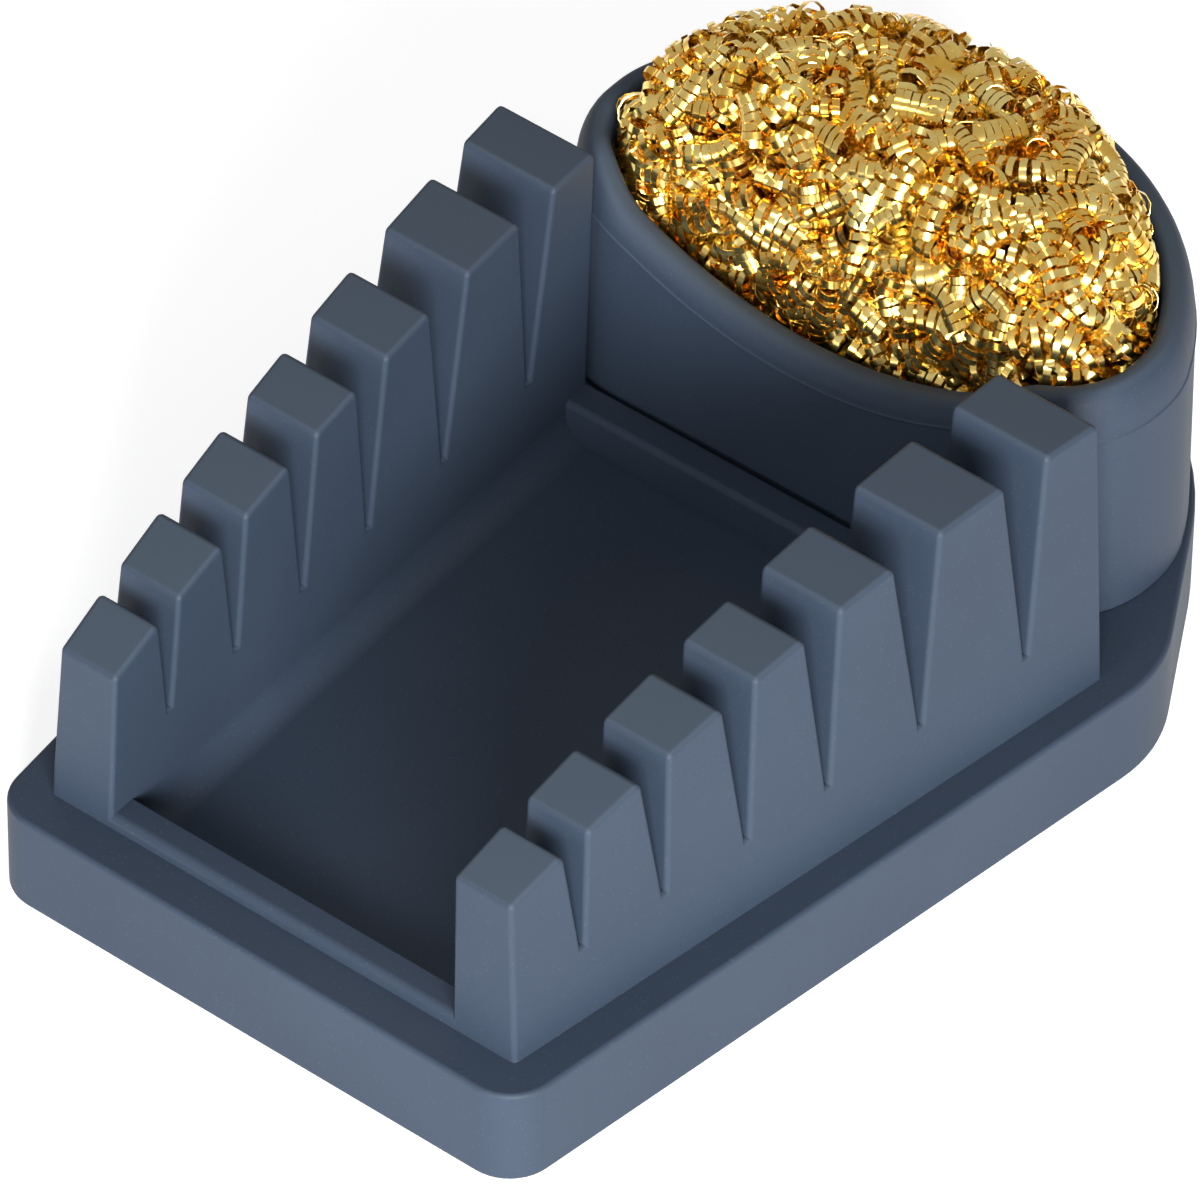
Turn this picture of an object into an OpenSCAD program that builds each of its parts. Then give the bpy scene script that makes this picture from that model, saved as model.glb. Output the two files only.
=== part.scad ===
// Soldering iron stand: a silicone base with two comb racks, a lift-off silicone cup
// and a ball of brass wool in the cup. +Y is the back, +Z is up, the base stands on z = 0
// with its outline centred on the origin.

/* [Base plate] */
// Length of the plate, front edge to back edge
base_l = 121.8; // [121.8:0.1:123]
// Thickness of the plate
base_t = 11.1; // [10.5:0.1:12]
// Half of the plate's width where its side lines meet the front edge
front_half_w = 31.9; // [31.5:0.1:32.5]
// Angle by which each side opens out towards the back
side_flare = 6.9; // [6.6:0.1:7.2]
// Radius of the front corners
front_r = 5; // [3:0.5:8]
// Radius of the back corners
back_corner_r = 16; // [15.8:0.1:16.5]
// Radius of the rounded back edge
back_r = 37; // [37:0.05:37.4]
// Distance of the back corners' centres from the centre line
back_corner_x = 25.75; // [25.6:0.05:26]
// Distance of the back corners' centres from the front edge
back_corner_y = 82.15; // [82:0.05:82.4]

/* [Tray] */
// Height of the tray's floor
tray_floor = 8.1; // [6:0.1:9]
// Distance of the lip's front face from the front edge
lip_y = 4.6; // [4:0.1:5]
// Depth of the lip, front to back
lip_l = 3.4; // [2:0.1:5]
// Height of the lip and the back ledge above the plate
lip_h = 1.4; // [0.4:0.1:2]
// Distance of the back ledge's front face from the front edge
ledge_y = 77.2; // [70:0.1:78]

/* [Racks] */
// Distance of the first post from the front edge
rack_y = 4.6; // [4.2:0.1:4.6]
// Length of each post along the rack, front to back
post_l = [7.4, 6.8, 6.9, 6.4, 7, 8.4, 6.8];
// Width of each slot at the top of the rack, front to back
slot_w = [3, 3.5, 4.1, 4.5, 5.9, 5.5];
// Width of a slot at its bottom
slot_tip = 0.4; // [0.2:0.1:1]
// Height of the slots' bottoms
slot_z = 19.8; // [16:0.1:24]
// Height of the racks at their back ends
crown_z = 42.4; // [40:0.1:46]
// Radius of the arc that the posts' tops follow
crown_r = 236; // [200:1:400]
// Distance of a rack's inner face from the centre line, at its front
rack_in = 20.6; // [19:0.1:21]
// Distance of a rack's outer foot from the centre line, at its front
rack_out = 28.3; // [27.5:0.1:28.8]
// Angle by which the inner faces open out towards the back
inner_splay = 3.26; // [2:0.01:4]
// Angle by which the outer faces open out towards the back
outer_splay = 7.47; // [7:0.01:7.8]
// Inward lean of the outer faces
lean = 3.58; // [0:0.01:6]

/* [Cup] */
// Distance of the cup's front wall from the plate's front edge
cup_y = 81.1; // [81.1:0.1:81.4]
// Height of the rim
rim_z = 38.5; // [37:0.5:42]
// Thickness of the cup's wall
wall = 4; // [3:0.1:5]
// Height of the cup's floor
cup_floor = 13.6; // [13:0.1:16]
// Radius of the cup's front corners
cup_front_r = 12.4; // [11:0.1:12.8]
// Radius of the cup's back corners
cup_side_r = 14; // [13.8:0.1:14.2]
// Radius of the cup's rounded back
cup_back_r = 36.6; // [36.4:0.1:36.7]
// Depth of the scoop in the front rim
scoop_depth = 9.2; // [4:0.1:10]
// Radius of the scoop
scoop_r = 45; // [44:0.1:50]
// Depth of the locating plug under the cup
plug_h = 2.8; // [1:0.1:4]
// Distance of the plug's side from the cup's outer face
plug_inset = 4; // [3.8:0.1:6]
// Clearance around and under the plug
plug_gap = 0.3; // [0.2:0.05:0.5]

/* [Brass wool] */
// Height of the wool's highest point
wool_z = 54; // [46:0.5:60]
// Clearance between the wool and the cup
wool_gap = 0.4; // [0.3:0.05:1]
// Radius of the wool's dome, seen from the side
dome_side_r = 16.8; // [16.6:0.1:24]
// Radius of the wool's dome, seen from the front
dome_front_r = 55; // [48:1:80]

/* [Hidden] */
// Straight steps in each arc
arc_steps = 12;
// Depth to which one solid is sunk into the next, so that they join
buried = 1;
far = 200;
silicone = "#33404f";
brass = "#c99a3b";

// Length of the rack: all posts and all slots
rack_l = addup(post_l, 6) + addup(slot_w, 5);
rack_end = rack_y + rack_l;
// The back edge's centre, from the front edge
back_y = base_l - back_r;
// Centre of a front corner, so that its arc meets the front edge and the side line
front_corner_x = front_half_w + front_r * tan(side_flare) - front_r / cos(side_flare);
// Centres of the cup's corners
cup_front_corner = [22.05, cup_y + cup_front_r];
cup_side_corner = [20.45, cup_y + 13.4];
// The angles at which the corners' arcs pass into the rounded backs of plate and cup
back_turn = 30;
cup_turn = 25.3;
pocket_z = base_t - plug_h - plug_gap;
// How far the scoop is cut through the front wall and the corners
scoop_l = wall + 3.6;
dome_y = cup_y + 20.2;

// Sum of the first n + 1 values of a list
function addup(list, n) = n < 0 ? 0 : list[n] + addup(list, n - 1);

// Points along an arc around c
function arc(c, r, a0, a1) =
    [for (i = [0:arc_steps]) let (a = a0 + (a1 - a0) * i / arc_steps) c + r * [cos(a), sin(a)]];

// A closed outline from its right half, which ends on the centre line
function mirrored(half) = concat(half, [for (i = [len(half) - 2:-1:0]) [-half[i][0], half[i][1]]]);

// Height of the arc that the posts' tops follow, at the distance y from the front edge
function top_at(y) = crown_z - crown_r + sqrt(crown_r * crown_r - (rack_end - y) * (rack_end - y));

// Distance of the inner face from the centre line, at the distance y from the front edge
function inner_at(y) = rack_in + (y - rack_y) * tan(inner_splay);

// Middle of slot i, from the front edge
function slot_mid(i) = rack_y + addup(post_l, i) + addup(slot_w, i - 1) + slot_w[i] / 2;

// The plate's outline
function base_outline() = mirrored(concat(
    arc([front_corner_x, front_r], front_r, -90, -side_flare),
    arc([back_corner_x, back_corner_y], back_corner_r, -side_flare, back_turn),
    arc([0, back_y], back_r, back_turn, 90)));

// The cup's outline, moved in by inset
function cup_outline(inset) = mirrored(concat(
    arc(cup_front_corner, cup_front_r - inset, -90, 0),
    arc(cup_side_corner, cup_side_r - inset, 0, cup_turn),
    arc([0, back_y], cup_back_r - inset, cup_turn, 90)));

// Moves what is measured from the plate's front edge to the part's frame
module from_front() {
    translate([0, -base_l / 2, 0]) children();
}

// A straight-walled block over an outline, from z0 up to z1
module block(outline, z0, z1) {
    translate([0, 0, z0]) linear_extrude(z1 - z0) polygon(outline);
}

// The concave fillet between the tray's floor and its right wall. Its ends and its back
// are buried in the plate.
module tray_fillet() {
    r = base_t - tray_floor;
    end_y = ledge_y + buried;
    profile = concat(
        arc([-r, r], r, -90, 0),
        [[buried, r], [buried, -buried], [-r, -buried]]);
    translate([inner_at(end_y), end_y, tray_floor]) rotate([0, 0, -inner_splay]) rotate([90, 0, 0])
        linear_extrude(end_y - lip_y - buried) polygon(profile);
}

module base_plate() {
    color(silicone) from_front() {
        difference() {
            block(base_outline(), 0, base_t);
            block(tray_outline(lip_y + lip_l, ledge_y), tray_floor, base_t + 1);
            block(cup_outline(plug_inset - plug_gap), pocket_z, base_t + 1);
        }
        block(tray_outline(lip_y, lip_y + lip_l), base_t - buried, base_t + lip_h);
        block(tray_outline(ledge_y, rack_end), base_t - buried, base_t + lip_h);
        for (side = [0, 1]) mirror([side, 0, 0]) tray_fillet();
    }
}

// The area between the racks' inner faces, from y0 to y1
function tray_outline(y0, y1) = [
    [-inner_at(y0), y0], [inner_at(y0), y0], [inner_at(y1), y1], [-inner_at(y1), y1]];

// The rack seen from the side: along the rack to the right, up is up
module comb() {
    difference() {
        intersection() {
            translate([rack_y, base_t]) square([rack_l, crown_z]);
            translate([rack_end, crown_z - crown_r]) circle(r = crown_r, $fn = 360);
        }
        for (i = [0:len(slot_w) - 1]) {
            y = slot_mid(i);
            // The slot's sides run straight on above the rack
            rise = (crown_z + 1 - slot_z) / (top_at(y) - slot_z);
            half_top = slot_tip / 2 + (slot_w[i] - slot_tip) / 2 * rise;
            polygon([
                [y - slot_tip / 2, slot_z], [y + slot_tip / 2, slot_z],
                [y + half_top, crown_z + 1], [y - half_top, crown_z + 1]]);
        }
    }
}

// The right rack; the left one is its mirror image
module rack() {
    foot = rack_l * tan(outer_splay);
    difference() {
        intersection() {
            rotate([90, 0, 90]) linear_extrude(rack_out + foot + 5) comb();
            block([
                [rack_in, rack_y], [rack_out + 5, rack_y],
                [rack_out + foot + 5, rack_end], [inner_at(rack_end), rack_end]],
                0, crown_z + 1);
        }
        // The leaning outer face
        translate([rack_out, rack_y, base_t]) rotate([0, 0, -outer_splay]) rotate([0, -lean, 0])
            translate([0, -far / 2, -far / 2]) cube(far);
    }
}

module left_rack() {
    color(silicone) from_front() mirror([1, 0, 0]) rack();
}

module right_rack() {
    color(silicone) from_front() rack();
}

module cup() {
    color(silicone) from_front() difference() {
        union() {
            block(cup_outline(0), base_t, rim_z);
            block(cup_outline(plug_inset), base_t - plug_h, base_t + 1);
        }
        block(cup_outline(wall), cup_floor, rim_z + 1);
        // The scoop in the front rim
        translate([0, cup_y - 1, rim_z - scoop_depth + scoop_r]) rotate([-90, 0, 0])
            cylinder(h = scoop_l, r = scoop_r, $fn = 180);
    }
}

// A dome's section: an arc of radius r with its top at the origin, closed far below it
module dome_section(r, half_angle) {
    polygon(concat(
        arc([0, -r], r, 90 - half_angle, 90 + half_angle),
        [[-r * sin(half_angle), -far], [r * sin(half_angle), -far]]));
}

module brass_wool() {
    color(brass) from_front() intersection() {
        block(cup_outline(wall + wool_gap), cup_floor + wool_gap, wool_z + 1);
        translate([-far / 2, dome_y, wool_z]) rotate([90, 0, 90])
            linear_extrude(far) dome_section(dome_side_r, 75);
        translate([0, far, wool_z]) rotate([90, 0, 0])
            linear_extrude(far) dome_section(dome_front_r, 45);
    }
}

base_plate();
left_rack();
right_rack();
cup();
brass_wool();
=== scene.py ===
"""Looks of a soldering iron stand: a slate-blue silicone base with two comb racks, a silicone
cup with a scooped front rim, and a ball of curled brass ribbon in the cup."""

import math

import bmesh
import bpy
import numpy as np
from mathutils import Matrix, Vector, noise


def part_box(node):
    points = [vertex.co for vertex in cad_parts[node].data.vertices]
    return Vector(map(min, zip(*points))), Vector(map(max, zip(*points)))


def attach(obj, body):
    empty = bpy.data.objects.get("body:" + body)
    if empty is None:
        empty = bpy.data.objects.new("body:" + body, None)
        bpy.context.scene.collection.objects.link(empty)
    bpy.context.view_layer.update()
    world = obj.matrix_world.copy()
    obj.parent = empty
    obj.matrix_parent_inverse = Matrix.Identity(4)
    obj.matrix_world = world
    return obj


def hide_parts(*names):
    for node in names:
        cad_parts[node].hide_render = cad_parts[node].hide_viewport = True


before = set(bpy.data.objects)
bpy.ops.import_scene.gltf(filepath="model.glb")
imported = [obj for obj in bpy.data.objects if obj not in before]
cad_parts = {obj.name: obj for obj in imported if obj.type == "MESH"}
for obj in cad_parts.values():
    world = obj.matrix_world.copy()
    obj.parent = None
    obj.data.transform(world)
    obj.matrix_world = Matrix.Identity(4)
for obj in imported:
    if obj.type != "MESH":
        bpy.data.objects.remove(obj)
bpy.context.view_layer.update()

MM = 0.001
# The least angle between two faces at which the edge between them stays crisp
CREASE, RIBBON_CREASE = math.radians(32), math.radians(50)

# ---------------------------------------------------------------- sizes, in millimetres
# y is measured from the plate's front edge, x from the centre line, z from the table.

plate_low, plate_high = (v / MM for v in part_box("base_plate"))
rack_low, rack_high = (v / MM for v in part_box("right_rack"))
cup_low, cup_high = (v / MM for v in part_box("cup"))
wool_low, wool_high = (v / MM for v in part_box("brass_wool"))

# Plate. BACK_CORNER is the centre of the right back corner's arc.
FRONT = plate_low.y
BASE_L = plate_high.y - plate_low.y
BASE_T = rack_low.z
FRONT_HALF_W, SIDE_FLARE, FRONT_R = 31.9, math.radians(6.9), 5.0
BACK_CORNER, BACK_CORNER_R = (25.75, 82.15), 16.0
BACK_R, BACK_TURN = 37.0, math.radians(30)
PLATE_EDGE_R = 0.5
# How far racks and bars go down into the plate that they are joined to
SUNK = 1.0
# How far a bar's face keeps from the rack's face beside it
SKIN = 0.02

# Tray, with the lip at its front and the ledge at its back
TRAY_FLOOR = 8.1
BAR_H = 1.4
LIP_L, LIP_FRONT_R, LIP_BACK_R = 3.4, 1.0, 0.25
LEDGE_Y, LEDGE_FRONT_R, LEDGE_BACK_R = 77.2, 0.7, 0.35
# How far each bar's ends go into the racks
BAR_REACH = 0.6
# How far the tray's cutter stands above the plate
CUTTER_RISE = 4

# Racks: posts and slots from front to back. RACK_IN and RACK_OUT are at the racks' front.
RACK_Y = rack_low.y - FRONT
RACK_END = rack_high.y - FRONT
CROWN_Z, CROWN_R = rack_high.z, 236.0
POST_L = (7.4, 6.8, 6.9, 6.4, 7.0, 8.4, 6.8)
SLOT_W = (3.0, 3.5, 4.1, 4.5, 5.9, 5.5)
SLOT_TIP, SLOT_Z = 0.4, 19.8
# How far each slot's bottom lies behind the middle of its mouth
TIP_SHIFT = (0.2, 0.5, 0.3, 0.0, -0.1, -0.4)
RACK_IN, INNER_SPLAY = 20.75, math.tan(math.radians(3.26))
RACK_OUT, OUTER_SPLAY = 28.3, math.tan(math.radians(7.47))
LEAN, INNER_LEAN = math.tan(math.radians(3.58)), math.tan(math.radians(1.23))
# How far the top of the first post's front lies behind its foot
FRONT_LEAN = 0.62
POST_EDGE_R, POST_CORNER_R = 0.55, 0.7

# Cup. The rim and the mould's seam dip at the front: SEAM_LOW is the seam's lowest height.
CUP_Y = cup_low.y - FRONT
RIM_Z, WALL, CUP_FLOOR = cup_high.z, 4.0, 13.6
CUP_FRONT_R, CUP_SIDE_R, CUP_BACK_R = 12.4, 14.0, 36.6
CUP_FRONT_X, CUP_SIDE_X, CUP_SIDE_Y = 22.05, 20.45, 13.4
CUP_TURN = math.radians(25.3)
SCOOP_X, SCOOP_DEPTH, SCOOP_R, SCOOP_BLEND = -1.2, 9.2, 45.0, 1.6
SEAM_Z, SEAM_LOW, SEAM_BLEND = 33.2, 26.5, 3.0
RIM_OUTER_R, RIM_INNER_R = 1.9, 1.2
# How far above the seam the band under the rim starts, and its inset there
BAND_RISE, BAND_INSET = 0.3, 0.6
PLUG_INSET, PLUG_GAP, PLUG_BOTTOM = 4.0, 0.3, cup_low.z


# ---------------------------------------------------------------- outlines and meshes

def arc(cx, cy, r, start, end, steps):
    """Points along an arc, both ends included; angles in radians."""
    return [(cx + r * math.cos(a), cy + r * math.sin(a)) for a in np.linspace(start, end, steps + 1)]


def quarter(steps):
    """Angles from nought to a quarter turn, both ends included."""
    return np.linspace(0, math.pi / 2, steps + 1)


def mirrored(half):
    """A closed outline from its right half, which starts and ends on the centre line."""
    return half + [(-x, y) for x, y in half[-2:0:-1]]


def base_outline(inset):
    """The plate's outline, moved in by inset."""
    corner_x = FRONT_HALF_W + FRONT_R * math.tan(SIDE_FLARE) - FRONT_R / math.cos(SIDE_FLARE)
    return mirrored(
        [(0, inset)]
        + arc(corner_x, FRONT_R, FRONT_R - inset, -math.pi / 2, -SIDE_FLARE, 10)
        + arc(*BACK_CORNER, BACK_CORNER_R - inset, -SIDE_FLARE, BACK_TURN, 8)
        + arc(0, BASE_L - BACK_R, BACK_R - inset, BACK_TURN, math.pi / 2, 14)
    )


def cup_outline(inset):
    """The cup's outline, moved in by inset. Its front has points for the rim's dip."""
    front_y = CUP_Y + inset
    front_points = 16
    straight = [(CUP_FRONT_X * i / front_points, front_y) for i in range(front_points)]
    return mirrored(
        straight
        + arc(CUP_FRONT_X, CUP_Y + CUP_FRONT_R, CUP_FRONT_R - inset, -math.pi / 2, 0, 16)
        + arc(CUP_SIDE_X, CUP_Y + CUP_SIDE_Y, CUP_SIDE_R - inset, 0, CUP_TURN, 8)
        + arc(0, BASE_L - BACK_R, CUP_BACK_R - inset, CUP_TURN, math.pi / 2, 22)
    )


def place(x, y, z):
    """A point in metres in the frame, from millimetres with y measured from the front edge."""
    return (x * MM, (y + FRONT) * MM, z * MM)


def loft(rings, name):
    """A closed mesh through rings of equal length, with a face over each end."""
    n = len(rings[0])
    points = [place(*p) for ring in rings for p in ring]
    faces = []
    for k in range(len(rings) - 1):
        for i in range(n):
            j = (i + 1) % n
            faces.append((k * n + i, k * n + j, (k + 1) * n + j, (k + 1) * n + i))
    faces.append(tuple(reversed(range(n))))
    faces.append(tuple(range((len(rings) - 1) * n, len(rings) * n)))
    mesh = bpy.data.meshes.new(name)
    mesh.from_pydata(points, [], faces)
    bm = bmesh.new()
    bm.from_mesh(mesh)
    bmesh.ops.recalc_face_normals(bm, faces=bm.faces)
    bm.to_mesh(mesh)
    bm.free()
    return mesh


def new_object(mesh, name):
    """An object that holds a mesh, both of the same name."""
    obj = bpy.data.objects.new(name, mesh)
    mesh.name = name
    bpy.context.scene.collection.objects.link(obj)
    return obj


def bake_modifiers(obj):
    """Replaces obj's mesh by what its modifiers make of it."""
    bpy.context.view_layer.update()
    graph = bpy.context.evaluated_depsgraph_get()
    mesh = bpy.data.meshes.new_from_object(obj.evaluated_get(graph))
    obj.modifiers.clear()
    obj.data = mesh


def boolean(target, tool_mesh, operation):
    """Joins or cuts target's mesh with a closed mesh, exactly."""
    tool = bpy.data.objects.new("tool", tool_mesh)
    bpy.context.scene.collection.objects.link(tool)
    modifier = target.modifiers.new("join", "BOOLEAN")
    modifier.operation = operation
    modifier.solver = "EXACT"
    modifier.object = tool
    bake_modifiers(target)
    bpy.data.objects.remove(tool)


def smooth_by_area(obj):
    """Shades rounded edges smoothly beside faces that stay flat, and keeps inner corners crisp."""
    obj.data.shade_smooth()
    obj.data.set_sharp_from_angle(angle=CREASE)
    modifier = obj.modifiers.new("normals", "WEIGHTED_NORMAL")
    modifier.weight = 100
    modifier.keep_sharp = True
    bake_modifiers(obj)


# ---------------------------------------------------------------- silicone base

def inner_at(y, z=BASE_T):
    """Distance of a rack's inner face from the centre line."""
    return RACK_IN + (y - RACK_Y) * INNER_SPLAY - (z - BASE_T) * INNER_LEAN


def outer_at(y, z):
    """Distance of a rack's outer face from the centre line."""
    return RACK_OUT + (y - RACK_Y) * OUTER_SPLAY - (z - BASE_T) * LEAN


def top_at(y):
    """Height of the arc that the posts' tops follow."""
    return CROWN_Z - CROWN_R + math.sqrt(CROWN_R ** 2 - (RACK_END - y) ** 2)


def comb_profile():
    """Corners of the comb seen from the side, with the radius of each: (y, z, r)."""
    foot = BASE_T - SUNK
    corners = [(RACK_Y, foot, 0), (RACK_END, foot, 0)]
    back = RACK_END
    for k in reversed(range(len(POST_L))):
        front = back - POST_L[k] + (0 if k else FRONT_LEAN)
        corners.append((back, top_at(back), POST_CORNER_R))
        corners.append((front, top_at(front), POST_CORNER_R))
        if k:
            tip = front - SLOT_W[k - 1] / 2 + TIP_SHIFT[k - 1]
            corners.append((tip + SLOT_TIP / 2, SLOT_Z, 0))
            corners.append((tip - SLOT_TIP / 2, SLOT_Z, 0))
            back = front - SLOT_W[k - 1]
    return corners


def rounded(corners, steps):
    """The polygon of the corners, with an arc in each corner that has a radius."""
    points = []
    for i, (y, z, r) in enumerate(corners):
        here = Vector((y, z))
        if not r:
            points.append(here)
            continue
        before = (Vector(corners[i - 1][:2]) - here).normalized()
        after = (Vector(corners[(i + 1) % len(corners)][:2]) - here).normalized()
        half = before.angle(after) / 2
        centre = here + (before + after).normalized() * (r / math.sin(half))
        start = here + before * (r / math.tan(half)) - centre
        turn = math.pi - 2 * half
        for k in range(steps + 1):
            points.append(centre + Matrix.Rotation(turn * k / steps, 2) @ start)
    return points


def inset_polygon(points, depth):
    """Moves every side of an anticlockwise polygon inwards by depth."""
    moved = []
    n = len(points)
    for i in range(n):
        a, b, c = points[i - 1], points[i], points[(i + 1) % n]
        n1 = Vector((-(b - a).y, (b - a).x)).normalized()
        n2 = Vector((-(c - b).y, (c - b).x)).normalized()
        moved.append(b + (n1 + n2) * (depth / (1 + n1.dot(n2))))
    return moved


def rack_mesh(side):
    """One comb rack, side 1 right or -1 left, its edges rounded over both faces."""
    profile = rounded(comb_profile(), 3)
    edge = [(POST_EDGE_R * (1 - math.sin(a)), POST_EDGE_R * (1 - math.cos(a))) for a in quarter(4)]
    rings = []
    for depth, inward in edge:
        ring = inset_polygon(profile, depth)
        rings.append([(side * (inner_at(p.x, p.y) + inward), p.x, p.y) for p in ring])
    for depth, inward in reversed(edge):
        ring = inset_polygon(profile, depth)
        rings.append([(side * (outer_at(p.x, p.y) - inward), p.x, p.y) for p in ring])
    return loft(rings, "rack")


def plate_mesh():
    """The plate, its lower and upper edges rounded."""
    rings = []
    for a in quarter(3):
        inset, z = PLATE_EDGE_R * (1 - math.sin(a)), PLATE_EDGE_R * (1 - math.cos(a))
        rings.append([(x, y, z) for x, y in base_outline(inset)])
    for a in quarter(4):
        inset, z = PLATE_EDGE_R * (1 - math.cos(a)), BASE_T - PLATE_EDGE_R * (1 - math.sin(a))
        rings.append([(x, y, z) for x, y in base_outline(inset)])
    return loft(rings, "plate")


def tray_cutter():
    """The tray's space: a trough with round bottom corners."""
    r = BASE_T - TRAY_FLOOR
    rings = []
    for y in (RACK_Y + LIP_L, LEDGE_Y):
        wall = inner_at(y)
        half = [(0, TRAY_FLOOR)]
        half += [(wall - r + r * math.sin(a), BASE_T - r * math.cos(a)) for a in quarter(8)]
        half += [(wall, BASE_T + CUTTER_RISE)]
        ring = [(x, y, z) for x, z in half]
        ring += [(-x, y, z) for x, y, z in reversed(ring[1:])]
        rings.append(ring)
    return loft(rings, "trough")


def bar_mesh(front, back, front_r, back_r):
    """A low bar between the racks, its front and back edges rounded."""
    top = BASE_T + BAR_H
    back_edge = [(back - back_r + back_r * math.cos(a), top - back_r + back_r * math.sin(a))
                 for a in quarter(5)]
    front_edge = [(front + front_r - front_r * math.sin(a), top - front_r + front_r * math.cos(a))
                  for a in quarter(5)]
    profile = [(front, BASE_T - SUNK), (back, BASE_T - SUNK)] + back_edge + front_edge
    reach = inner_at(back) + BAR_REACH
    return loft([[(x, y, z) for y, z in profile] for x in (-reach, reach)], "bar")


def pocket_cutter():
    """The space in the plate for the cup's plug."""
    ring = cup_outline(PLUG_INSET - PLUG_GAP)
    levels = (PLUG_BOTTOM - PLUG_GAP, BASE_T + 1)
    return loft([[(x, y, z) for x, y in ring] for z in levels], "pocket")


def make_base():
    """The base moulding: plate, tray, lip, ledge and both racks in one skin."""
    base = new_object(plate_mesh(), "silicone_base")
    boolean(base, tray_cutter(), "DIFFERENCE")
    boolean(base, pocket_cutter(), "DIFFERENCE")
    lip = bar_mesh(RACK_Y + SKIN, RACK_Y + LIP_L, LIP_FRONT_R, LIP_BACK_R)
    ledge = bar_mesh(LEDGE_Y, RACK_END - SKIN, LEDGE_FRONT_R, LEDGE_BACK_R)
    for added in (lip, ledge, rack_mesh(1), rack_mesh(-1)):
        boolean(base, added, "UNION")
    smooth_by_area(base)
    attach(base, "base")
    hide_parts("base_plate", "left_rack", "right_rack")
    return base


# ---------------------------------------------------------------- silicone cup

def dip(x, low, high, blend):
    """Height of a line that runs level at high round the cup and dips to low at the front."""
    x -= SCOOP_X
    if abs(x) >= SCOOP_R:
        return high
    scoop = low + SCOOP_R - math.sqrt(SCOOP_R ** 2 - x * x)
    h = max(0.0, min(1.0, 0.5 + 0.5 * (scoop - high) / blend))
    return scoop * (1 - h) + high * h - blend * h * (1 - h)


def cup_mesh():
    """The cup, lofted from the plug's bottom up the outside, over the rim and down the inside."""
    outline = cup_outline(0)
    back = CUP_Y + CUP_FRONT_R
    crest = [dip(x, RIM_Z - SCOOP_DEPTH, RIM_Z, SCOOP_BLEND) if y < back else RIM_Z for x, y in outline]
    seam = [dip(x, SEAM_LOW, SEAM_Z, SEAM_BLEND) if y < back else SEAM_Z for x, y in outline]

    def ring(inset, height):
        """A ring at a height that follows from the crest's and the seam's at each point."""
        return [(x, y, height(*levels)) for (x, y), *levels in zip(cup_outline(inset), crest, seam)]

    def level(z):
        return lambda top, line: z

    def at_seam(rise):
        return lambda top, line: line + rise

    def below(drop):
        return lambda top, line: top - drop

    def band(share):
        """A share of the way up from just above the seam to the crest."""
        return lambda top, line: line + BAND_RISE + (top - line - BAND_RISE) * share

    rings = [
        # The plug
        ring(PLUG_INSET + 0.4, level(PLUG_BOTTOM)),
        ring(PLUG_INSET, level(PLUG_BOTTOM + 0.4)),
        ring(PLUG_INSET, level(BASE_T)),
        # The foot, which leaves a dark line over the plate
        ring(0.75, level(BASE_T)),
        ring(0.4, level(BASE_T + 0.12)),
        ring(0.25, level(BASE_T + 0.45)),
        ring(0.28, level(BASE_T + 3)),
        # The thin raised line where the mould parts
        ring(0.55, at_seam(-0.17)),
        ring(0.46, at_seam(-0.05)),
        ring(0.46, at_seam(0.05)),
        ring(0.57, at_seam(0.17)),
    ]
    for a in quarter(8):
        rings.append(ring(BAND_INSET + RIM_OUTER_R * (1 - math.cos(a)), band(math.sin(a))))
    for a in quarter(6)[-2::-1]:
        inset = WALL - RIM_INNER_R * (1 - math.cos(a))
        rings.append(ring(inset, below(RIM_INNER_R * (1 - math.sin(a)))))
    # The inside, down to the floor
    rings.append(ring(WALL, level(CUP_FLOOR + 2)))
    rings.append(ring(WALL + 0.6, level(CUP_FLOOR + 0.6)))
    rings.append(ring(WALL + 2, level(CUP_FLOOR)))
    return loft(rings, "cup")


def make_cup():
    """The cup moulding, in one skin."""
    cup = new_object(cup_mesh(), "silicone_cup")
    smooth_by_area(cup)
    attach(cup, "cup")
    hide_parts("cup")
    return cup


# ---------------------------------------------------------------- brass wool

WOOL_FLOOR = wool_low.z + 0.4
WOOL_TOP = wool_high.z - 3.2
WOOL_CENTRE_Y = CUP_Y + 20.0
# Clearance between the wool and the cup's wall
WOOL_GAP = 0.3
# The highest point of the dome, from the wool's centre, and how fast the dome falls off from it
CREST_X, CREST_Y = -3, 1
FALL_X, FALL_Y = 0.0026, 0.007
# Width of the band over which the wool rises from the rim, and what is added to it at the front
RISE_W, RISE_FRONT_W = 9.0, 4.0
# The powers that shape the rise within that band
RISE_POWERS = (2.4, 0.7)
# Height at which the wool meets the wall, away from the dip in the cup's front rim
EDGE_Z = RIM_Z - 1.0
# Depth and half width of the wool's own dip there
DIP_DEPTH, DIP_HALF_W = SCOOP_DEPTH - 0.5, 19.0
# How far in front of the wool's centre the added width and the dip come in fully
WIDTH_Y, DIP_Y = 15.0, 12.0
# Turns a height over the dome into a rough distance from it
DOME_SLOPE = 0.75
RIBBON_W, RIBBON_T = 0.74, 0.05
# The radii of the coils, and the share of the coils that has each
COIL_RADII = (1.1, 1.3, 1.5, 1.65, 1.85, 2.1)
COIL_SHARES = (0.14, 0.24, 0.26, 0.18, 0.12, 0.06)
# The share of coils that are wound loosely, how much wider these are, and the pitches
LOOSE_SHARE, LOOSE_R = 0.25, 1.15
LOOSE_PITCH, CLOSE_PITCH = (1.6, 3.0), (0.8, 1.3)
# Points on one turn of a coil
TURN_STEPS = 12
# Length of a step along a coil's middle line, and how sharply the line bends
WALK_STEP, WALK_BEND = 0.6, 0.16
# The share of its bend that the line keeps at each step, and the share of a new one that it takes
BEND_KEPT, BEND_NEW = 0.93, 0.3
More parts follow.
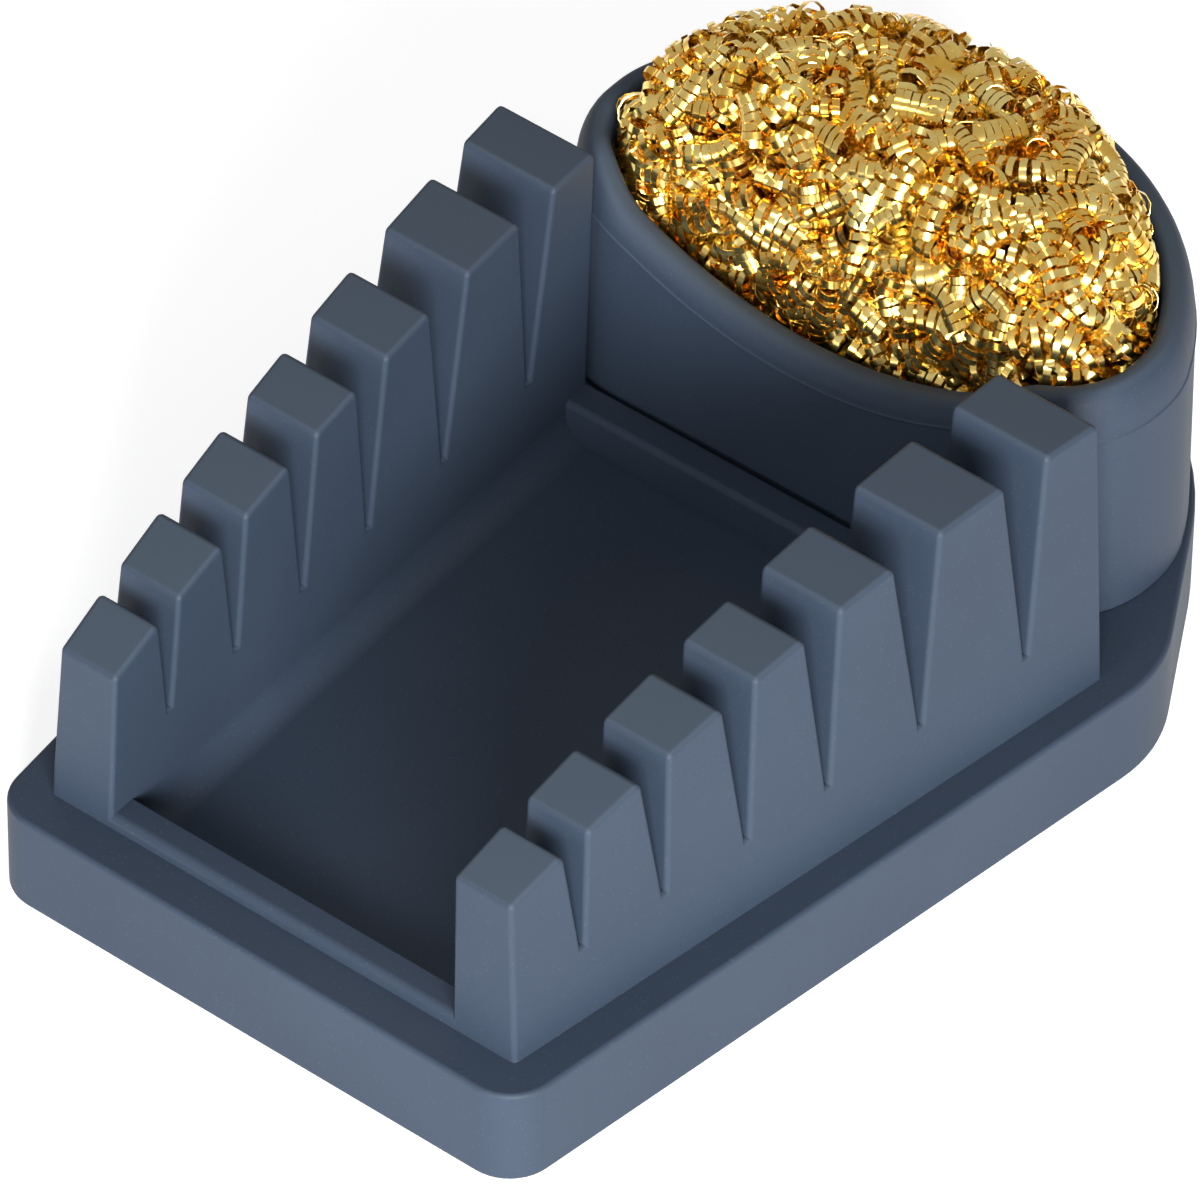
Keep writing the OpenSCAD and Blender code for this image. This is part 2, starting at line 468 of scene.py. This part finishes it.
# How far under its depth the line may sink, and the share of any more that it rises by
SINK, SINK_BACK = 2.5, 0.25
# The turn at which a coil starts and how much its radius varies, at most, and how fast that is
MOST_PHASE, MOST_SWELL, SWELL_RATE = 6.28, 0.12, 0.45
# How deep in the wool the core's surface lies, the height of the core's centre, and the core's
# lumps: how close together they are and how high
CORE_DEPTH, CORE_Z = 4.2, 29.0
CORE_LUMPS = ((14, 1.1), (37, 0.5))


def wool_outline_lines():
    """The wool's plan as half-planes: normals and offsets of a convex outline."""
    points = np.array(cup_outline(WALL + WOOL_GAP))
    after = np.roll(points, -1, axis=0)
    side = after - points
    length = np.hypot(side[:, 0], side[:, 1])
    # The shortest sides, where two arcs meet, have no sure direction
    long = length > 0.3
    side, points, length = side[long], points[long], length[long]
    normal = np.stack([side[:, 1], -side[:, 0]], axis=1) / length[:, None]
    return normal, (normal * points).sum(axis=1)


PLAN_NORMAL, PLAN_OFFSET = wool_outline_lines()


def wool_surface(p):
    """How far each point lies outside the wool's outer shape, roughly; below 0 is inside."""
    plan = (p[:, :2] @ PLAN_NORMAL.T - PLAN_OFFSET).max(axis=1)
    x, y = p[:, 0], p[:, 1] - WOOL_CENTRE_Y
    front = np.clip(-y / WIDTH_Y, 0, 1)
    edge = np.clip(-plan / (RISE_W + RISE_FRONT_W * front), 0, 1)
    hollow = DIP_DEPTH * np.exp(-((x - SCOOP_X) / DIP_HALF_W) ** 2) * np.clip(-y / DIP_Y, 0, 1)
    rim = EDGE_Z - hollow
    crest = WOOL_TOP - FALL_X * (x - CREST_X) ** 2 - FALL_Y * (y - CREST_Y) ** 2
    top = rim + (crest - rim) * (1 - (1 - edge) ** RISE_POWERS[0]) ** RISE_POWERS[1]
    dome = (p[:, 2] - top) * DOME_SLOPE
    return np.maximum(np.maximum(plan, WOOL_FLOOR - p[:, 2]), dome)


def slope(p):
    """Outward unit direction of the wool's surface near each point."""
    h = 0.4
    g = np.stack([wool_surface(p + h * e) - wool_surface(p - h * e) for e in np.eye(3)], axis=1)
    return g / np.maximum(np.linalg.norm(g, axis=1, keepdims=True), 1e-9)


def start_points(rng, count, low, high):
    """Random points just under the wool's surface between two heights, at most count."""
    tries, rounds, depth, near = 8 * count, 8, 1.0, 2
    half_w, margin = 31, 3
    p = np.stack([rng.uniform(-half_w, half_w, tries),
                  rng.uniform(CUP_Y + margin, BASE_L - margin, tries),
                  rng.uniform(low, high, tries)], axis=1)
    # Each round takes a point most of the way to the depth
    for _ in range(rounds):
        p = p - slope(p) * (wool_surface(p) + depth)[:, None] * 0.8
    fits = (p[:, 2] > low - near) & (p[:, 2] < high) & (np.abs(wool_surface(p) + depth) < near)
    return p[fits][:count]


def walks(rng, start, depth, steps):
    """Wandering middle lines at least a depth under the surface: an array (count, steps, 3)."""
    p = start
    t = rng.normal(size=p.shape)
    turn = rng.normal(0, WALK_BEND, size=p.shape)
    path = []
    for _ in range(steps):
        t /= np.linalg.norm(t, axis=1, keepdims=True)
        turn = turn * BEND_KEPT + rng.normal(0, WALK_BEND * BEND_NEW, size=p.shape)
        t = t + np.cross(turn, t) * WALK_STEP
        p = p + t * WALK_STEP
        # Turned back along the surface where it would leave it, and back up from too deep
        n = slope(p)
        out = np.maximum(wool_surface(p) + depth, 0)
        deep = np.maximum(-wool_surface(p) - depth - SINK, 0)
        p = p - n * (out - SINK_BACK * deep)[:, None]
        t = t - n * (np.maximum((t * n).sum(axis=1), 0) * (out > 0))[:, None]
        path.append(p)
    return np.stack(path, axis=1)


def keep_apart(paths, radii, closeness):
    """The walks of which at most half lies on ones already laid, each with its coil's radius."""
    laid, laid_r, chosen = np.empty((0, 3)), np.empty(0), []
    for path, r in zip(paths, radii):
        spots = path[::3]
        if len(laid):
            gap = np.linalg.norm(spots[:, None] - laid[None], axis=2) - closeness * (r + laid_r[None])
            if (gap.min(axis=1) < 0).mean() > 0.5:
                continue
        chosen.append((path, r))
        laid = np.concatenate([laid, spots])
        laid_r = np.concatenate([laid_r, np.full(len(spots), r)])
    return chosen


def make_layer(rng, count, depth, low, high, steps, closeness):
    """The middle lines and radii of one layer of coils."""
    start = start_points(rng, count, low, high)
    count = len(start)
    steps_each = rng.integers(steps // 3, steps + 1, size=count)
    radii = rng.choice(COIL_RADII, size=count, p=COIL_SHARES)
    paths = walks(rng, start, depth + radii, steps)
    return keep_apart([path[:n] for path, n in zip(paths, steps_each)], radii, closeness)


def smoothed(line):
    """A line averaged over one turn of the coil around it, unless it is too short for that."""
    if len(line) <= 2 * TURN_STEPS:
        return line
    before = TURN_STEPS // 2
    padded = np.concatenate([np.repeat(line[:1], before, 0), line,
                             np.repeat(line[-1:], TURN_STEPS - 1 - before, 0)])
    kernel = np.ones(TURN_STEPS) / TURN_STEPS
    return np.stack([np.convolve(padded[:, k], kernel, "valid") for k in range(3)], axis=1)


def unit_tangents(line):
    """The unit direction of a line at each of its points."""
    tangent = np.gradient(line, axis=0)
    return tangent / np.maximum(np.linalg.norm(tangent, axis=1, keepdims=True), 1e-9)


def coil(path, radius, pitch, phase, swell):
    """Flat ribbon wound around a path: four corner points per step, an array (steps, 4, 3)."""
    along = np.concatenate([[0], np.cumsum(np.linalg.norm(np.diff(path, axis=0), axis=1))])
    turns = along[-1] / pitch
    s = np.linspace(0, along[-1], max(8, int(turns * TURN_STEPS)))
    centre = smoothed(np.stack([np.interp(s, along, path[:, k]) for k in range(3)], axis=1))
    tangent = unit_tangents(centre)
    # A direction across the path, carried along it without twisting
    across = np.cross(tangent[0], (0.31, 0.52, 0.79))
    sideways = []
    for t in tangent:
        across = across - t * (across @ t)
        across = across / np.linalg.norm(across)
        sideways.append(across)
    u = np.array(sideways)
    v = np.cross(tangent, u)
    a = phase + 2 * math.pi * s / pitch
    r = radius * (1 + swell * np.sin(s * SWELL_RATE + phase * 3))
    out = u * np.cos(a)[:, None] + v * np.sin(a)[:, None]
    middle = centre + out * r[:, None]
    wide = np.cross(unit_tangents(middle), out)
    wide /= np.linalg.norm(wide, axis=1, keepdims=True)
    half_w, half_t = wide * RIBBON_W / 2, out * RIBBON_T / 2
    return np.stack([middle - half_w - half_t, middle + half_w - half_t,
                     middle + half_w + half_t, middle - half_w + half_t], axis=1)


def ribbons_object(ribbons, name):
    """One object from many ribbons, each a closed strip."""
    points, faces, first = [], [], 0
    for ribbon in ribbons:
        n = len(ribbon)
        points.append(ribbon.reshape(-1, 3))
        i = first + 4 * np.arange(n - 1)
        for k in range(4):
            m = (k + 1) % 4
            faces.append(np.stack([i + k, i + m, i + 4 + m, i + 4 + k], axis=1))
        end = first + 4 * (n - 1)
        faces.append(np.array([[first + 3, first + 2, first + 1, first],
                               [end, end + 1, end + 2, end + 3]]))
        first += 4 * n
    points = (np.concatenate(points) + (0, FRONT, 0)) * MM
    mesh = bpy.data.meshes.new(name)
    mesh.from_pydata(points.tolist(), [], np.concatenate(faces).tolist())
    mesh.shade_smooth()
    mesh.set_sharp_from_angle(angle=RIBBON_CREASE)
    return new_object(mesh, name)


def make_core():
    """The dense inner tangle, a lumpy mass that closes the gaps between the outer coils. It stands for
    the deeper wool, and its dark brass is painted shade.
    """
    bm = bmesh.new()
    bmesh.ops.create_icosphere(bm, subdivisions=5, radius=1)
    directions = np.array([v.co for v in bm.verts])
    centre = np.array([0, WOOL_CENTRE_Y, CORE_Z])
    # The distance to the core's surface in each direction, by halving
    near, far = np.zeros(len(directions)), np.full(len(directions), 60.0)
    for _ in range(18):
        middle = (near + far) / 2
        inside = wool_surface(centre + directions * middle[:, None]) < -CORE_DEPTH
        near, far = np.where(inside, middle, near), np.where(inside, far, middle)
    for v, r in zip(bm.verts, near):
        lump = sum(noise.noise(v.co * rate) * height for rate, height in CORE_LUMPS)
        v.co = Vector(place(*(centre + np.array(v.co) * (r + lump))))
    mesh = bpy.data.meshes.new("brass_wool_core")
    bm.to_mesh(mesh)
    bm.free()
    mesh.shade_smooth()
    return new_object(mesh, "brass_wool_core")


def make_wool():
    """The coils, in one object per layer, and the core under them, which comes last."""
    rng = np.random.default_rng(11)
    # Name, coils tried, depth, lowest and highest start, longest walk in steps, closeness
    layers = (
        ("brass_wool_top", 700, 0.0, RIM_Z - 11, WOOL_TOP, 13, 0.5),
        ("brass_wool_more", 700, 0.3, RIM_Z - 11, WOOL_TOP, 13, 0.5),
        ("brass_wool_under", 700, 1.8, RIM_Z - 11, WOOL_TOP, 16, 0.55),
        ("brass_wool_side", 500, 0.0, WOOL_FLOOR, RIM_Z - 8, 22, 0.65),
    )
    pieces = []
    for name, *layer in layers:
        ribbons = []
        for path, r in make_layer(rng, *layer):
            loose = rng.random() < LOOSE_SHARE
            pitch = rng.uniform(*(LOOSE_PITCH if loose else CLOSE_PITCH))
            radius = r * (LOOSE_R if loose else 1)
            phase, swell = rng.uniform(0, MOST_PHASE), rng.uniform(0, MOST_SWELL)
            ribbons.append(coil(path, radius, pitch, phase, swell))
        pieces.append(ribbons_object(ribbons, name))
    pieces.append(make_core())
    for piece in pieces:
        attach(piece, "wool")
    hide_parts("brass_wool")
    return pieces


# ---------------------------------------------------------------- materials
# Textures are laid out in the object's own space, so their scales are per metre. The base
# colours on the shaders stand in where the nodes aren't read.

def new_material(name):
    """A new node material: the material, its node tree and its shader."""
    material = bpy.data.materials.new(name)
    material.use_nodes = True
    tree = material.node_tree
    return material, tree, tree.nodes["Principled BSDF"]


def noise_texture(tree, spot, scale, detail):
    """Noise at a spot, as a value."""
    node = tree.nodes.new("ShaderNodeTexNoise")
    node.inputs["Scale"].default_value = scale
    node.inputs["Detail"].default_value = detail
    tree.links.new(spot, node.inputs["Vector"])
    return node.outputs["Fac"]


def colour_ramp(tree, value, low, high):
    """A colour between two stops, each a position and a colour."""
    node = tree.nodes.new("ShaderNodeValToRGB")
    for element, (position, colour) in zip(node.color_ramp.elements, (low, high)):
        element.position = position
        element.color = (*colour, 1)
    tree.links.new(value, node.inputs["Fac"])
    return node.outputs["Color"]


def towards(tree, share, start, colour):
    """A colour taken a share of the way towards a plain one."""
    node = tree.nodes.new("ShaderNodeMix")
    node.data_type = "RGBA"
    node.inputs["B"].default_value = (*colour, 1)
    tree.links.new(share, node.inputs["Factor"])
    tree.links.new(start, node.inputs["A"])
    return node.outputs["Result"]


def math_node(tree, operation, first, second):
    """What a Math node makes of a value and a second value or number."""
    node = tree.nodes.new("ShaderNodeMath")
    node.operation = operation
    tree.links.new(first, node.inputs[0])
    if isinstance(second, float):
        node.inputs[1].default_value = second
    else:
        tree.links.new(second, node.inputs[1])
    return node.outputs[0]


def map_range(tree, value, source=(0, 1), target=(0, 1)):
    """A value mapped from one range to another."""
    node = tree.nodes.new("ShaderNodeMapRange")
    node.inputs["From Min"].default_value, node.inputs["From Max"].default_value = source
    node.inputs["To Min"].default_value, node.inputs["To Max"].default_value = target
    tree.links.new(value, node.inputs["Value"])
    return node.outputs["Result"]


def height_part(tree, vector):
    """The Z part of a vector."""
    node = tree.nodes.new("ShaderNodeSeparateXYZ")
    tree.links.new(vector, node.inputs["Vector"])
    return node.outputs["Z"]


def silicone_material():
    """Matte slate-blue silicone with faint clouds, pale dust, painted light on the tops and a fine
    grain.
    """
    material, tree, shader = new_material("slate_silicone")
    shader.inputs["Base Color"].default_value = (0.020, 0.030, 0.048, 1)
    shader.inputs["Roughness"].default_value = 0.58
    shader.inputs["Specular IOR Level"].default_value = 0.2
    spot = tree.nodes.new("ShaderNodeTexCoord").outputs["Object"]

    clouds = noise_texture(tree, spot, 45, 4)
    colour = colour_ramp(tree, clouds, (0.3, (0.0185, 0.028, 0.045)), (0.7, (0.0215, 0.032, 0.051)))

    dust = tree.nodes.new("ShaderNodeTexVoronoi")
    dust.inputs["Scale"].default_value = 1500
    tree.links.new(spot, dust.inputs["Vector"])
    dusty = math_node(tree, "LESS_THAN", dust.outputs["Distance"], 0.12)
    colour = towards(tree, math_node(tree, "MULTIPLY", dusty, 0.5), colour, (0.05, 0.065, 0.09))

    # Painted light: the faces that face up high on the stand, the posts' tops and the rim, are painted
    # a little paler
    normal = tree.nodes.new("ShaderNodeNewGeometry").outputs["Normal"]
    facing_up = map_range(tree, height_part(tree, normal), source=(0.55, 0.95))
    high_up = map_range(tree, height_part(tree, spot), source=(0.024, 0.029))
    painted_top_light = math_node(tree, "MULTIPLY", facing_up, high_up)
    colour = towards(tree, painted_top_light, colour, (0.032, 0.044, 0.061))
    tree.links.new(colour, shader.inputs["Base Color"])

    bump = tree.nodes.new("ShaderNodeBump")
    bump.inputs["Strength"].default_value = 0.12
    bump.inputs["Distance"].default_value = 0.0001
    tree.links.new(noise_texture(tree, spot, 2600, 3), bump.inputs["Height"])
    tree.links.new(bump.outputs["Normal"], shader.inputs["Normal"])
    return material


def brass_material(name, low, high):
    """Brass in patches between two tints, of which the brighter are rougher."""
    material, tree, shader = new_material(name)
    shader.inputs["Base Color"].default_value = (*high, 1)
    shader.inputs["Metallic"].default_value = 1
    spot = tree.nodes.new("ShaderNodeTexCoord").outputs["Object"]
    patches = noise_texture(tree, spot, 260, 3)
    tree.links.new(colour_ramp(tree, patches, (0.35, low), (0.65, high)), shader.inputs["Base Color"])
    tree.links.new(map_range(tree, patches, target=(0.12, 0.30)), shader.inputs["Roughness"])
    return material


def floor_material():
    """A pale floor that glows a little, so that it stays white away from the lamps."""
    material, _, shader = new_material("pale_floor")
    shader.inputs["Base Color"].default_value = (0.85, 0.85, 0.85, 1)
    shader.inputs["Emission Color"].default_value = (1, 1, 1, 1)
    shader.inputs["Emission Strength"].default_value = 0.4
    shader.inputs["Roughness"].default_value = 0.9
    return material


# ---------------------------------------------------------------- camera, light and floor
# Angles are in degrees around the object, from its front; distances are in metres.

CAMERA_AZIMUTH, CAMERA_ELEVATION, CAMERA_ROLL = 38.4566, 42.8044, 0.9369
CAMERA_DISTANCE, CAMERA_TARGET = 1.18197, (-0.00117, -0.00737, 0.018)
SENSOR_W, FOCAL_LENGTH = 36, 371.45
LAMP_DISTANCE, LAMP_TARGET = 0.9, (0, 0, 0.02)
WORLD_STRENGTH = 0.5
FLOOR_HALF_W = 3


def aim(obj, azimuth, elevation, roll, distance, target):
    """Puts obj at an azimuth and elevation around target, looking at it."""
    a, e = math.radians(azimuth), math.radians(elevation)
    back = Vector((math.sin(a) * math.cos(e), -math.cos(a) * math.cos(e), math.sin(e)))
    obj.location = Vector(target) + back * distance
    look = back.to_track_quat("Z", "Y").to_matrix().to_4x4()
    obj.rotation_euler = (look @ Matrix.Rotation(math.radians(roll), 4, "Z")).to_euler()


def make_camera():
    """The camera, which looks from the right front and above."""
    data = bpy.data.cameras.new("camera")
    data.sensor_width = SENSOR_W
    data.lens = FOCAL_LENGTH
    camera = bpy.data.objects.new("camera", data)
    bpy.context.scene.collection.objects.link(camera)
    aim(camera, CAMERA_AZIMUTH, CAMERA_ELEVATION, CAMERA_ROLL, CAMERA_DISTANCE, CAMERA_TARGET)
    bpy.context.scene.camera = camera


def make_lamp(name, azimuth, elevation, size, power):
    """A rectangular lamp that faces the object, its size in metres and its power in watts."""
    data = bpy.data.lights.new(name, "AREA")
    data.shape = "RECTANGLE"
    data.size, data.size_y = size
    data.energy = power
    lamp = bpy.data.objects.new(name, data)
    bpy.context.scene.collection.objects.link(lamp)
    aim(lamp, azimuth, elevation, 0, LAMP_DISTANCE, LAMP_TARGET)


def make_floor():
    """The floor that the stand rests on, which isn't part of it."""
    s = FLOOR_HALF_W
    mesh = bpy.data.meshes.new("floor")
    mesh.from_pydata([(-s, -s, 0), (s, -s, 0), (s, s, 0), (-s, s, 0)], [], [(0, 1, 2, 3)])
    mesh.materials.append(floor_material())
    new_object(mesh, "floor")


def make_studio():
    """Lamps, an even white surround and the floor."""
    make_lamp("key", 45, 15, (0.45, 0.3), 23.5)
    make_lamp("top", 10, 75, (0.25, 0.25), 1.5)
    make_lamp("front", 2, 8, (0.25, 0.25), 2.2)
    world = bpy.data.worlds.new("studio")
    world.use_nodes = True
    background = world.node_tree.nodes["Background"]
    background.inputs["Color"].default_value = (1, 1, 1, 1)
    background.inputs["Strength"].default_value = WORLD_STRENGTH
    bpy.context.scene.world = world
    bpy.context.scene.view_settings.view_transform = "Standard"
    make_floor()


# ---------------------------------------------------------------- the whole stand

make_camera()
make_studio()
silicone = silicone_material()
for piece in (make_base(), make_cup()):
    piece.data.materials.clear()
    piece.data.materials.append(silicone)
bright_brass = brass_material("bright_brass", (0.90, 0.53, 0.09), (1.0, 0.80, 0.29))
# The core's brass is painted dark: painted shade in the deep gaps between the coils, on a mass that
# stands for the deeper wool
painted_shade_brass = brass_material("painted_shade_brass", (0.16, 0.07, 0.01), (0.42, 0.22, 0.05))
*coil_pieces, core = make_wool()
for piece in coil_pieces:
    piece.data.materials.append(bright_brass)
core.data.materials.append(painted_shade_brass)
